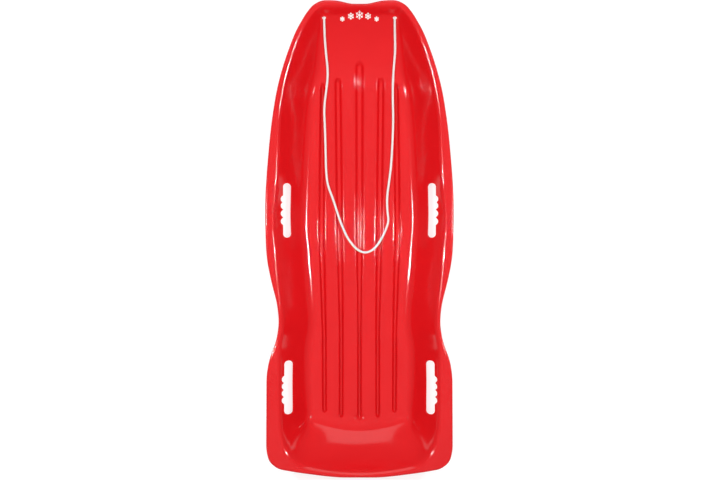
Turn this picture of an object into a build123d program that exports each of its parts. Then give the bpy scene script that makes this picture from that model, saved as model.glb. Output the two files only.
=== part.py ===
"""One-piece moulded toboggan with a tow rope.

The frame: +Y points to the nose, +Z up, and the origin lies under the middle of the hull, in
the plane that the runners rest on. All sizes are millimetres and degrees.
"""

import os
from math import asin, cos, degrees, pi, radians, sin, sqrt, tan

from build123d import *

# ---- overall sizes ---------------------------------------------------------------------------
LENGTH = 1219.0
WIDTH = 484.0
WALL = 3.0
HALF_LENGTH = LENGTH / 2
HALF_WIDTH = WIDTH / 2

# ---- heights ---------------------------------------------------------------------------------
RUNNER_DEPTH = 9.0  # how far each channel is pressed below the floor
FLOOR_HEIGHT = RUNNER_DEPTH + WALL  # top of the floor
NOSE_RAMP_LENGTH = 264.0  # from the start of the upturn to the nose
NOSE_RAMP_RADIUS = 370.0
LIP_DEPTH = 12.0  # the rim's edge is turned down this far
# Height of the rim along the hull: (share of the half length, height).
RIM_HEIGHTS = [
    (-1.0, 113), (-0.82, 108), (-0.66, 100), (-0.49, 93), (-0.33, 90),
    (0.16, 93), (0.49, 100), (0.74, 110), (0.92, 119), (1.0, 122),
]

# ---- plan curves: (share of the half length, share of the half width) -------------------------
# Corners of the right side's outline, from the middle of the nose round to the tail. Each one
# is rounded as far as its two sides allow.
OUTLINE = [
    (0.985, 0), (0.985, 0.091), (1, 0.248), (1, 0.397), (0.981, 0.492), (0.943, 0.568),
    (0.87, 0.676), (0.751, 0.791), (0.627, 0.878), (0.476, 0.938), (0.312, 0.977), (0.18, 1),
    (0.041, 1), (-0.082, 0.986), (-0.18, 0.936), (-0.271, 0.874), (-0.353, 0.853),
    (-0.43, 0.882), (-0.509, 0.959), (-0.574, 0.986), (-0.886, 0.986), (-0.935, 0.955),
    (-0.965, 0.86), (-0.979, 0.661), (-0.994, 0.372), (-1, 0.207), (-1, 0),
]
# The inner edge of the flat rim, along the side.
RIM_EDGE = [
    (-1.0, 0.846), (-0.74, 0.846), (-0.56, 0.851), (-0.466, 0.855), (-0.38, 0.825),
    (-0.30, 0.835), (-0.213, 0.860), (-0.13, 0.880), (-0.046, 0.895), (0.03, 0.915),
    (0.10, 0.919), (0.164, 0.903), (0.25, 0.880), (0.5, 0.851), (0.627, 0.802),
    (0.751, 0.723), (0.878, 0.603), (0.94, 0.500), (0.968, 0.438), (1.0, 0.395),
]
# The edge of the flat floor, where the side panel starts to curve up.
FLOOR_EDGE = [
    (-1.0, 0.488), (-0.72, 0.488), (-0.59, 0.508), (-0.50, 0.504), (-0.42, 0.479),
    (-0.33, 0.450), (-0.21, 0.467), (-0.08, 0.496), (0.08, 0.521), (0.25, 0.517),
    (0.41, 0.500), (0.50, 0.488), (0.625, 0.463), (0.735, 0.401), (0.87, 0.372), (1.0, 0.355),
]

# ---- bends between the floor, the side panels and the rim -------------------------------------
SIDE_SOFTNESS = 0.16  # share of the panel's run that the lower bend takes, on each side of it
BOWL_SOFTNESS = 0.42  # the same in the tail's bowl
RIM_SOFTNESS = 0.08
BOWL_RUN = 125.0  # from the floor's rear edge to the rim
BOWL_REAR_FLANGE = 10.0
BOWL_EDGE_ARCH = 22.0  # the floor's rear edge comes forward this much at the chine
CORNER_POWER = 3.0  # roundness of the rim's corners seen from above
NOSE_FLANGE = 12.0
NOSE_STEP_RUN = 24.0

# ---- channels pressed into the floor, which are the runners underneath ------------------------
# Steps of each channel from the rear: (distance from the middle, place, half width).
MIDDLE_CHANNEL = [(0.0, -460.0, 3.5), (0.0, -253.0, 3.5), (0.0, 20.0, 8.0), (0.0, 448.0, 10.0)]
INNER_CHANNEL = [
    (47.6, -456.0, 4.0), (47.6, -253.0, 4.0), (51.0, 20.0, 7.5), (57.0, 408.0, 7.5),
]
OUTER_CHANNEL = [
    (91.0, -444.0, 4.5), (92.0, -253.0, 4.5), (99.0, 20.0, 7.5), (99.0, 402.0, 7.5),
]

# ---- hand holes --------------------------------------------------------------------------------
# (rear end, front end, inner edge, outer edge, places of the finger scallops)
HAND_HOLES = {
    "front": (4.0, 144.0, 173.5, 194.5, (45.8, 66.0, 86.0, 103.0)),
    "rear": (-450.0, -313.0, 168.5, 191.0, (-414.0, -396.0, -378.5, -360.5)),
}
HAND_HOLE_CORNER = 9.5
SCALLOP_RADIUS = 10.0
SCALLOP_DEPTH = 6.0

# ---- tow rope ----------------------------------------------------------------------------------
ROPE_DIAMETER = 6.0
ROPE_RADIUS = ROPE_DIAMETER / 2
ROPE_GAP = 0.3  # between the rope and what it lies on, and between its stretches
ROPE_HOLE_RADIUS = 5.0
ROPE_HOLE_X = 90.6
ROPE_HOLE_Y = 567.0
KNOT_RADIUS = 8.5
KNOT_SLACK = 0.5  # the sheet curves a little round the hole
# The rope's route seen from above, from the left hole to the right hole.
LEAD_LEFT_ROUTE = [(-90.6, 567), (-90.3, 531), (-87.5, 488)]
LOOP_ROUTE = [
    (-81.5, 432), (-85.5, 392), (-92.4, 345), (-90.0, 290), (-88.2, 230), (-86.9, 172),
    (-82.5, 139), (-68.5, 104), (-57.5, 68), (-45.5, 35), (-33.0, 6), (-17.5, -15.5),
    (-4.0, -29.0), (14.5, -36.5), (36.0, -28.5), (55.5, -3.5), (67.5, 22), (76.5, 47),
    (72.5, 72), (71.5, 110), (77.0, 148), (82.5, 192), (86.0, 250), (88.3, 313), (86.2, 375),
    (87.8, 432),
]
LEAD_RIGHT_ROUTE = [(93.0, 488), (91.0, 531), (90.6, 567)]

LIFT = ROPE_RADIUS + ROPE_GAP  # the rope's middle over the sheet
ARC_SHARE = 0.45  # share of a run that an arc may take

DEEP = 200.0  # longer than any height, for cutting tools
SLAB_TURN = 42.0  # the floor's turn up the nose, past the channels' front ends
GRID_STEP = 10.0
GRID_STEP_ALONG = 17.0
GRID_MARGIN = 12.0


def smooth_curve(points, scale_in, scale_out):
    """A function through the points that never overshoots them (monotone cubic)."""
    xs = [x * scale_in for x, _ in points]
    ys = [y * scale_out for _, y in points]
    steps = [b - a for a, b in zip(xs, xs[1:])]
    slopes = [(b - a) / step for a, b, step in zip(ys, ys[1:], steps)]
    tangents = [slopes[0]]
    for before, after in zip(slopes, slopes[1:]):
        same_way = before * after > 0
        tangents.append(2 * before * after / (before + after) if same_way else 0.0)
    tangents.append(slopes[-1])

    def value(at):
        at = min(max(at, xs[0]), xs[-1])
        i = max(k for k in range(len(steps)) if xs[k] <= at)
        t = (at - xs[i]) / steps[i]
        return (
            ys[i] * (1 + 2 * t) * (1 - t) ** 2
            + tangents[i] * steps[i] * t * (1 - t) ** 2
            + ys[i + 1] * t * t * (3 - 2 * t)
            + tangents[i + 1] * steps[i] * t * t * (t - 1)
        )

    return value


rim_height = smooth_curve(RIM_HEIGHTS, HALF_LENGTH, 1.0)
rim_edge = smooth_curve(RIM_EDGE, HALF_LENGTH, HALF_WIDTH)
floor_edge = smooth_curve(FLOOR_EDGE, HALF_LENGTH, HALF_WIDTH)
RAMP_START = HALF_LENGTH - NOSE_RAMP_LENGTH
BOWL_END = -HALF_LENGTH + BOWL_REAR_FLANGE
BOWL_START = BOWL_END + BOWL_RUN
lower_bend = smooth_curve(
    [(BOWL_END, BOWL_SOFTNESS), (BOWL_START, SIDE_SOFTNESS), (HALF_LENGTH, SIDE_SOFTNESS)], 1, 1
)


def ramp_rise(y):
    """How far the floor has climbed at y."""
    along = max(0.0, y - RAMP_START)
    return NOSE_RAMP_RADIUS - sqrt(NOSE_RAMP_RADIUS**2 - along**2)


def ramp_angle(y):
    """The floor's slope at y, in degrees."""
    return degrees(asin(max(0.0, y - RAMP_START) / NOSE_RAMP_RADIUS))


def rise_share(run, softness):
    """Height share over a panel's run: a bend, a straight incline and a bend onto the rim."""
    slope = 1 / (1 - softness)
    if run <= 2 * softness:
        return slope * run * run / (4 * softness)
    if run < 1 - RIM_SOFTNESS:
        return slope * (run - softness)
    if run < 1 + RIM_SOFTNESS:
        return 1 - slope * (1 + RIM_SOFTNESS - run) ** 2 / (4 * RIM_SOFTNESS)
    return 1.0


def top_height(x, y):
    """Height of the sheet's upper face, without the channels."""
    floor = FLOOR_HEIGHT + ramp_rise(y)
    side = max(0.0, (abs(x) - floor_edge(y)) / (rim_edge(y) - floor_edge(y)))
    arch = (x / floor_edge(y)) ** 2
    bowl_start = BOWL_START + BOWL_EDGE_ARCH * arch
    bowl_end = BOWL_END + BOWL_REAR_FLANGE * arch
    tail = max(0.0, (bowl_start - y) / (bowl_start - bowl_end))
    nose = max(0.0, (y - HALF_LENGTH + NOSE_FLANGE) / NOSE_STEP_RUN + 1)
    run = (side**CORNER_POWER + max(tail, nose) ** CORNER_POWER) ** (1 / CORNER_POWER)
    return floor + (rim_height(y) - floor) * rise_share(run, lower_bend(y))


def steepness(x, y):
    """Height difference between two points of the same upright line, per unit of wall."""
    h = 0.5
    slope_x = (top_height(x + h, y) - top_height(x - h, y)) / (2 * h)
    slope_y = (top_height(x, y + h) - top_height(x, y - h)) / (2 * h)
    return sqrt(1 + slope_x**2 + slope_y**2)


def under_height(x, y):
    """Height of the sheet's lower face, one wall below the upper one."""
    return top_height(x, y) - WALL * steepness(x, y)


def lay(route):
    """The route's points at the height where the rope just clears the sheet."""
    return [Vector(x, y, top_height(x, y) + LIFT * steepness(x, y)) for x, y in route]


def spread(half, step):
    """Even places from -half to half, about one step apart."""
    count = round(2 * half / step)
    return [-half + 2 * half * i / count for i in range(count + 1)]


def sheet_face(height):
    """A curved face over the whole plan, with its height from a function."""
    xs = spread(HALF_WIDTH + GRID_MARGIN, GRID_STEP)
    ys = spread(HALF_LENGTH + GRID_MARGIN, GRID_STEP_ALONG)
    rows = [[(x, y, height(x, y)) for x in xs] for y in ys]
    return Face.make_surface_from_array_of_points(rows, tol=0.2, min_deg=3, max_deg=3)


def bend_radii(points):
    """The largest radius that each corner's two runs allow."""
    radii = []
    for a, b, c in zip(points, points[1:], points[2:]):
        turn = (b - a).get_angle(c - b)
        shorter = min((b - a).length, (c - b).length)
        radii.append(ARC_SHARE * shorter / tan(radians(turn / 2)))
    return radii


# ---- the hull ----------------------------------------------------------------------------------
outline_corners = [Vector(x * HALF_WIDTH, y * HALF_LENGTH) for y, x in OUTLINE]
with BuildSketch() as outline:
    with BuildLine():
        FilletPolyline(*outline_corners, radius=bend_radii(outline_corners))
        mirror(about=Plane.YZ)
    make_face()

with BuildSketch() as inner_outline:
    add(outline.sketch)
    offset(amount=-WALL)

with BuildPart() as hollow:
    add(Solid.extrude(sheet_face(under_height), (0, 0, -DEEP)))
    extrude(inner_outline.sketch, amount=DEEP, mode=Mode.INTERSECT)

# What lies below the turned-down lip, outside the hollow.
with BuildPart() as below_lip:
    with BuildSketch(Plane.YZ.offset(-WIDTH)):
        with BuildLine():
            lip_line = Spline(
                *[(y * (HALF_LENGTH + GRID_MARGIN), z - LIP_DEPTH) for y, z in RIM_HEIGHTS]
            )
            Polyline(
                lip_line @ 1, ((lip_line @ 1).X, -DEEP), ((lip_line @ 0).X, -DEEP), lip_line @ 0
            )
        make_face()
    extrude(amount=2 * WIDTH)
    extrude(inner_outline.sketch, amount=DEEP, both=True, mode=Mode.SUBTRACT)

def channel_plan(grow=0.0):
    """The channels seen from above, grown all round by a distance."""
    with BuildSketch() as plan:
        for steps in (MIDDLE_CHANNEL, INNER_CHANNEL, OUTER_CHANNEL):
            for side in (-1, 1) if steps[0][0] else (1,):
                places = [(side * x, y, half_width + grow) for x, y, half_width in steps]
                with BuildLine():
                    left = Polyline(*[(x - half, y) for x, y, half in places])
                    right = Polyline(*[(x + half, y) for x, y, half in places])
                    for at, (x, y, half) in ((0, places[0]), (1, places[-1])):
                        end = y + (half if at else -half)
                        ThreePointArc(left @ at, (x, end), right @ at)
                make_face()
    return plan.sketch


# The runners are the channels' shapes, one wall wider all round.
channels = channel_plan()
runner_plan = channel_plan(WALL)


def floor_slab(low, high):
    """The space between two heights over the floor, which follows the upturn of the nose."""
    with BuildPart() as slab:
        with BuildSketch(Plane.YZ.offset(-WIDTH)):
            with BuildLine():
                for height in (low, high):
                    flat = Line((-HALF_LENGTH, height), (RAMP_START, height))
                    JernArc(flat @ 1, (1, 0), NOSE_RAMP_RADIUS, SLAB_TURN)
                Line((-HALF_LENGTH, low), (-HALF_LENGTH, high))
                drop = NOSE_RAMP_RADIUS * (1 - cos(radians(SLAB_TURN)))
                end = RAMP_START + NOSE_RAMP_RADIUS * sin(radians(SLAB_TURN))
                Line((end, low + drop), (end, high + drop))
            make_face()
        extrude(amount=2 * WIDTH)
    return slab.part


with BuildPart() as runners:
    extrude(runner_plan, amount=DEEP, both=True)
    add(floor_slab(0, FLOOR_HEIGHT - WALL / 2), mode=Mode.INTERSECT)

with BuildPart() as channel_cut:
    extrude(channels, amount=DEEP, both=True)
    add(floor_slab(WALL, FLOOR_HEIGHT + DEEP / 2), mode=Mode.INTERSECT)

# The hand holes seen from above, on the right side.
with BuildSketch() as hand_holes:
    for rear, front, inner, outer, scallops in HAND_HOLES.values():
        with Locations(((inner + outer) / 2, (rear + front) / 2)):
            RectangleRounded(outer - inner, front - rear, HAND_HOLE_CORNER)
        with Locations(*[(outer + SCALLOP_DEPTH - SCALLOP_RADIUS, y) for y in scallops]):
            Circle(SCALLOP_RADIUS)

rope_slope = radians(ramp_angle(ROPE_HOLE_Y))
# Planes at the rope's pivots over its holes, whose normals are the floor's there.
hole_planes = {
    side: Plane(
        origin=lay([(sign * ROPE_HOLE_X, ROPE_HOLE_Y)])[0],
        x_dir=(1, 0, 0),
        z_dir=(0, -sin(rope_slope), cos(rope_slope)),
    )
    for side, sign in (("left", -1), ("right", 1))
}
print("hinge of the leads", hole_planes["right"].origin)

with BuildPart() as hull:
    add(Solid.extrude(sheet_face(top_height), (0, 0, -DEEP)))
    extrude(outline.sketch, amount=DEEP, mode=Mode.INTERSECT)
    add(hollow.part, mode=Mode.SUBTRACT)
    add(below_lip.part, mode=Mode.SUBTRACT)
    add(runners.part)
    add(channel_cut.part, mode=Mode.SUBTRACT)
    extrude(hand_holes.sketch, amount=DEEP, mode=Mode.SUBTRACT)
    extrude(mirror(hand_holes.sketch, about=Plane.YZ, mode=Mode.PRIVATE), amount=DEEP,
            mode=Mode.SUBTRACT)
    for plane in hole_planes.values():
        with Locations(plane):
            Cylinder(ROPE_HOLE_RADIUS, 6 * WALL, mode=Mode.SUBTRACT)
hull.part.label = "hull"
print("hull", hull.part.volume, hull.part.bounding_box(), len(hull.solids()))

# ---- the knots under the nose, each with the stretch of rope that fills its hole ---------------
# The knot is drawn up against the lower edge of its hole.
knot_seat = sqrt((KNOT_RADIUS + ROPE_GAP) ** 2 - ROPE_HOLE_RADIUS**2)
knot_depth = LIFT + WALL + knot_seat + KNOT_SLACK
knots = {}
for side, plane in hole_planes.items():
    with BuildPart() as knot:
        with Locations(plane.offset(-knot_depth)):
            Sphere(KNOT_RADIUS)
        with Locations(plane):
            Cylinder(ROPE_RADIUS, knot_depth, align=(Align.CENTER, Align.CENTER, Align.MAX))
            Sphere(ROPE_RADIUS)
    knot.part.label = f"rope_knot_{side}"
    knots[side] = knot


# ---- the rope's free stretches -----------------------------------------------------------------
def rope_stretch(name, points, round_end=None):
    """A tube along the points, with a rounded end on the joint that it carries."""
    radii = bend_radii(points)
    with BuildPart() as stretch:
        with BuildLine() as path:
            if radii:
                FilletPolyline(*points, radius=radii)
            else:
                Line(*points)
        with BuildSketch(Plane(origin=path.line @ 0, z_dir=path.line % 0)):
            Circle(ROPE_RADIUS)
        sweep()
        if round_end is not None:
            with Locations(round_end):
                Sphere(ROPE_RADIUS)
    stretch.part.label = name
    length = path.wires()[0].length
    print(f"{name}: length {length:.1f}, volume {stretch.part.volume:.0f}, "
          f"section x length {pi * ROPE_RADIUS**2 * length:.0f}")
    print("  runs", *[round((b - a).length) for a, b in zip(points, points[1:])])
    print("  radii", *[round(radius) for radius in radii])
    return stretch, length


def step_from(start, towards, distance):
    """The point that lies a distance from start, towards another point."""
    return start + (towards - start).normalized() * distance


left_route = lay(LEAD_LEFT_ROUTE)
right_route = lay(LEAD_RIGHT_ROUTE)[::-1]
loop_route = lay(LOOP_ROUTE)
left_hinge = (left_route[-1] + loop_route[0]) * 0.5
right_hinge = (right_route[-1] + loop_route[-1]) * 0.5
print("hinges of the loop", left_hinge, right_hinge)
END_GAP = ROPE_RADIUS + ROPE_GAP
ropes = []
for side, route, hinge in (("left", left_route, left_hinge), ("right", right_route, right_hinge)):
    start = step_from(route[0], route[1], END_GAP)
    ropes.append(rope_stretch(f"rope_lead_{side}", [start, *route[1:], hinge], hinge))
loop_points = [
    step_from(left_hinge, loop_route[0], END_GAP),
    *loop_route,
    step_from(right_hinge, loop_route[-1], END_GAP),
]
ropes.append(rope_stretch("rope_loop", loop_points))
print("whole rope", sum(length for _, length in ropes) + 4 * END_GAP)

# ---- files -------------------------------------------------------------------------------------
os.makedirs("parts", exist_ok=True)
for piece in (hull, *knots.values(), *[stretch for stretch, _ in ropes]):
    export_step(piece.part, f"parts/{piece.part.label}.step")
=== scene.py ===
"""A moulded toboggan with a tow rope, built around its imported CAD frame.

The hull is one pressed polyethylene sheet, drawn here as a dense mesh over the same plan curves
and heights that the CAD hull has. Sizes are millimetres in the named values, and metres in Blender.
"""

from __future__ import annotations

import logging
import math
from bisect import bisect
from collections.abc import Callable, Iterator, Sequence
from contextlib import contextmanager
from dataclasses import dataclass, field, replace
from enum import Enum

import bmesh
import bpy
from mathutils import Matrix, Vector

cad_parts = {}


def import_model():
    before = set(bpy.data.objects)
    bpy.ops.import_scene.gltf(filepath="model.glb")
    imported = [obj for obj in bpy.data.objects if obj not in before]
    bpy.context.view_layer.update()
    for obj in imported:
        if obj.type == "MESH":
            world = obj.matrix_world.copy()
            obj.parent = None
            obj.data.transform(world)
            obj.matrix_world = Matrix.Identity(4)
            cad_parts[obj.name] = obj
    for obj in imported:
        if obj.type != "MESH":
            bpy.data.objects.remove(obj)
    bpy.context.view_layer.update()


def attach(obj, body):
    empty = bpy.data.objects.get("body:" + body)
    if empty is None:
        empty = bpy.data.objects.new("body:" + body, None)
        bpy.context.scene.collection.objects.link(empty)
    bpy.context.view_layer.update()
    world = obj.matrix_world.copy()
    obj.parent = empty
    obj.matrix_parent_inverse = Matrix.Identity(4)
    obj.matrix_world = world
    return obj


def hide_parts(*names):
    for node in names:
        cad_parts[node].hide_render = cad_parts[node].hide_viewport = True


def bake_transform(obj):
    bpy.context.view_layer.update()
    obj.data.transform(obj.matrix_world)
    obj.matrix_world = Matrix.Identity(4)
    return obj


LOG = logging.getLogger("toboggan")
MM = 0.001

Point = tuple[float, float]
Curve = Callable[[float], float]


class Side(Enum):
    """The two sides of the hull, with the sign of their X."""

    LEFT = -1
    RIGHT = 1


# ---- small tools -------------------------------------------------------------------------------
def hex_colour(code: str) -> tuple[float, float, float, float]:
    """Turn an sRGB hex value into a linear colour.

    Args:
        code: The colour, such as "E32A2B".

    Returns:
        Red, green, blue and an alpha of one.
    """

    def linear(value: float) -> float:
        """One channel from sRGB to linear."""
        return value / 12.92 if value <= 0.04045 else ((value + 0.055) / 1.055) ** 2.4

    red, green, blue = (linear(int(code[i : i + 2], 16) / 255) for i in (0, 2, 4))
    return red, green, blue, 1.0


def smooth_curve(points: Sequence[Point], scale_in: float = 1.0, scale_out: float = 1.0) -> Curve:
    """Make a monotone cubic through points, which never overshoots them.

    Args:
        points: Pairs of place and value, in order.
        scale_in: What the places are multiplied by.
        scale_out: What the values are multiplied by.

    Returns:
        The function of place.
    """
    places = [place * scale_in for place, _ in points]
    values = [value * scale_out for _, value in points]
    steps = [b - a for a, b in zip(places, places[1:])]
    slopes = [(b - a) / step for a, b, step in zip(values, values[1:], steps)]
    tangents = [slopes[0]]
    for before, after in zip(slopes, slopes[1:]):
        same_way = before * after > 0
        tangents.append(2 * before * after / (before + after) if same_way else 0.0)
    tangents.append(slopes[-1])

    def value_at(place: float) -> float:
        """The curve's value at one place."""
        place = min(max(place, places[0]), places[-1])
        i = max(k for k in range(len(steps)) if places[k] <= place)
        t = (place - places[i]) / steps[i]
        return (
            values[i] * (1 + 2 * t) * (1 - t) ** 2
            + tangents[i] * steps[i] * t * (1 - t) ** 2
            + values[i + 1] * t * t * (3 - 2 * t)
            + tangents[i + 1] * steps[i] * t * t * (t - 1)
        )

    return value_at


def straight_curve(points: Sequence[Point]) -> Curve:
    """Make a function that runs straight between many close points.

    Args:
        points: Pairs of place and value, in rising order of place.

    Returns:
        The function of place.
    """
    places = [place for place, _ in points]

    def value_at(place: float) -> float:
        """The value at one place."""
        i = min(max(bisect(places, place) - 1, 0), len(points) - 2)
        (a, low), (b, high) = points[i], points[i + 1]
        return low + (high - low) * min(max((place - a) / (b - a), 0.0), 1.0)

    return value_at


def smooth_step(value: float) -> float:
    """Ease from 0 to 1 as the value goes from 0 to 1."""
    value = min(max(value, 0.0), 1.0)
    return value * value * (3 - 2 * value)


def select_only(obj: bpy.types.Object) -> None:
    """Make one object the only selected and active one."""
    if bpy.context.object and bpy.context.object.mode != "OBJECT":
        bpy.ops.object.mode_set(mode="OBJECT")
    bpy.ops.object.select_all(action="DESELECT")
    obj.select_set(True)
    bpy.context.view_layer.objects.active = obj


def object_from(name: str, vertices: Sequence[Vector],
                faces: Sequence[Sequence[int]]) -> bpy.types.Object:
    """Make a mesh object in the scene.

    Args:
        name: The name of the object and its mesh.
        vertices: Its points, in millimetres.
        faces: The point numbers of each face.

    Returns:
        The new object.
    """
    mesh = bpy.data.meshes.new(name)
    mesh.from_pydata([tuple(v * MM) for v in vertices], [], faces)
    mesh.validate()
    obj = bpy.data.objects.new(name, mesh)
    bpy.context.scene.collection.objects.link(obj)
    return obj


@contextmanager
def editing(obj: bpy.types.Object) -> Iterator[bmesh.types.BMesh]:
    """Open an object's mesh for editing, and write it back afterwards.

    Args:
        obj: The object.

    Yields:
        Its mesh.
    """
    mesh = bmesh.new()
    mesh.from_mesh(obj.data)
    yield mesh
    mesh.to_mesh(obj.data)
    mesh.free()


def apply_modifier(obj: bpy.types.Object, kind: str, **settings: object) -> None:
    """Add a modifier and apply it.

    Args:
        obj: The object that it changes.
        kind: The modifier's type name.
        settings: Attributes set on the modifier.
    """
    select_only(obj)
    modifier = obj.modifiers.new(kind.title(), kind)
    for key, value in settings.items():
        setattr(modifier, key, value)
    bpy.ops.object.modifier_apply(modifier=modifier.name)


def finish_shading(obj: bpy.types.Object, degrees: float = 35.0) -> None:
    """Shade an object smooth, with its sharp edges kept crisp.

    Args:
        obj: The object.
        degrees: The angle from which an edge counts as sharp.
    """
    select_only(obj)
    bpy.ops.object.shade_smooth_by_angle(angle=math.radians(degrees))


# ---- the hull's shape, shared by the hull, the rope and the print ------------------------------
@dataclass(frozen=True)
class HullShape:
    """Plan curves and heights of the pressed sheet, in millimetres."""

    length: float = 1219.0
    width: float = 484.0
    wall: float = 3.0
    channel_depth: float = 9.0
    ramp_length: float = 264.0
    ramp_radius: float = 370.0
    side_softness: float = 0.16
    bowl_softness: float = 0.42
    rim_softness: float = 0.08
    bowl_run: float = 125.0
    rear_flange: float = 10.0
    bowl_arch: float = 22.0
    corner_power: float = 3.0
    nose_flange: float = 12.0
    nose_step_run: float = 24.0
    # Height of the rim: (share of the half length, height).
    rim_heights: tuple[Point, ...] = (
        (-1.0, 113), (-0.82, 108), (-0.66, 100), (-0.49, 93), (-0.33, 90),
        (0.16, 93), (0.49, 100), (0.74, 110), (0.92, 119), (1.0, 122),
    )
    # Plan curves: (share of the half length, share of the half width).
    rim_edges: tuple[Point, ...] = (
        (-1.0, 0.846), (-0.74, 0.846), (-0.56, 0.851), (-0.466, 0.855), (-0.38, 0.825),
        (-0.30, 0.835), (-0.213, 0.860), (-0.13, 0.880), (-0.046, 0.895), (0.03, 0.915),
        (0.10, 0.919), (0.164, 0.903), (0.25, 0.880), (0.5, 0.851), (0.627, 0.802),
        (0.751, 0.723), (0.878, 0.603), (0.94, 0.500), (0.968, 0.438), (1.0, 0.395),
    )
    floor_edges: tuple[Point, ...] = (
        (-1.0, 0.488), (-0.72, 0.488), (-0.59, 0.508), (-0.50, 0.504), (-0.42, 0.479),
        (-0.33, 0.450), (-0.21, 0.467), (-0.08, 0.496), (0.08, 0.521), (0.25, 0.517),
        (0.41, 0.500), (0.50, 0.488), (0.625, 0.463), (0.735, 0.401), (0.87, 0.372),
        (1.0, 0.355),
    )
    # Corners of the right side's outline, from nose to tail, each one rounded.
    outline: tuple[Point, ...] = (
        (0.985, 0), (0.985, 0.091), (1, 0.248), (1, 0.397), (0.981, 0.492), (0.943, 0.568),
        (0.87, 0.676), (0.751, 0.791), (0.627, 0.878), (0.476, 0.938), (0.312, 0.977), (0.18, 1),
        (0.041, 1), (-0.082, 0.986), (-0.18, 0.936), (-0.271, 0.874), (-0.353, 0.853),
        (-0.43, 0.882), (-0.509, 0.959), (-0.574, 0.986), (-0.886, 0.986), (-0.935, 0.955),
        (-0.965, 0.86), (-0.979, 0.661), (-0.994, 0.372), (-1, 0.207), (-1, 0),
    )
    arc_share: float = 0.45  # share of a run that a rounded corner may take
    nose_corner: float = 0.45  # where the nose's end turns into the side, as a share of the width
    tail_corner: float = 0.925

    @property
    def half_length(self) -> float:
        """Half of the overall length."""
        return self.length / 2

    @property
    def half_width(self) -> float:
        """Half of the overall width."""
        return self.width / 2


@dataclass(frozen=True)
class Channel:
    """One channel of the floor, which is a runner underneath.

    Each step, from the rear, is (distance from the middle, place, half width at the top).
    """

    steps: tuple[tuple[float, float, float], ...]
    dimple: float = 0.0

    def centre(self, y: float) -> tuple[float, float]:
        """Find where the channel's line is at one place.

        Args:
            y: Place along the hull.

        Returns:
            The line's distance from the middle, and the channel's half width.
        """
        along = min(max(y, self.steps[0][1]), self.steps[-1][1])
        i = max(k for k in range(len(self.steps) - 1) if self.steps[k][1] <= along)
        a, b = self.steps[i], self.steps[i + 1]
        t = (along - a[1]) / (b[1] - a[1])
        return a[0] + (b[0] - a[0]) * t, a[2] + (b[2] - a[2]) * t

    def lateral(self, x: float, y: float) -> tuple[float, float]:
        """Find how far a point lies from the channel's line.

        Args:
            x: Distance from the hull's middle.
            y: Place along the hull.

        Returns:
            The distance from the line, rounded at its ends, and the channel's half width there.
        """
        along = min(max(y, self.steps[0][1]), self.steps[-1][1])
        centre, half = self.centre(y)
        return math.hypot(x - centre, y - along), half


@dataclass(frozen=True)
class GripBand:
    """A row of slanted ridges on the rim beside a hand hole."""

    rear: float
    front: float
    count: int
    slant: float  # how far forward a ridge moves per unit outwards
    half_width: float
    height: float
    flat_share: float = 0.55  # share of the half width over which a ridge keeps its height
    fullness: float = 1.5  # above one, a ridge has a flat back

    def rise(self, offset: float, y: float) -> float:
        """Find the height of the ridges at a point.

        Args:
            offset: Distance outwards from the band's middle.
            y: Place along the hull.

        Returns:
            The height, which is nothing between the ridges and beside them.
        """
        if abs(offset) >= self.half_width:
            return 0.0
        pitch = (self.front - self.rear) / self.count
        place = (y - self.slant * offset - self.rear) / pitch
        if not 0 <= place <= self.count:
            return 0.0
        flat = self.half_width * self.flat_share
        across = 1 - smooth_step((abs(offset) - flat) / (self.half_width - flat))
        along = smooth_step(self.fullness * math.sin(math.pi * (place % 1)))
        return self.height * across * along


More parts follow.
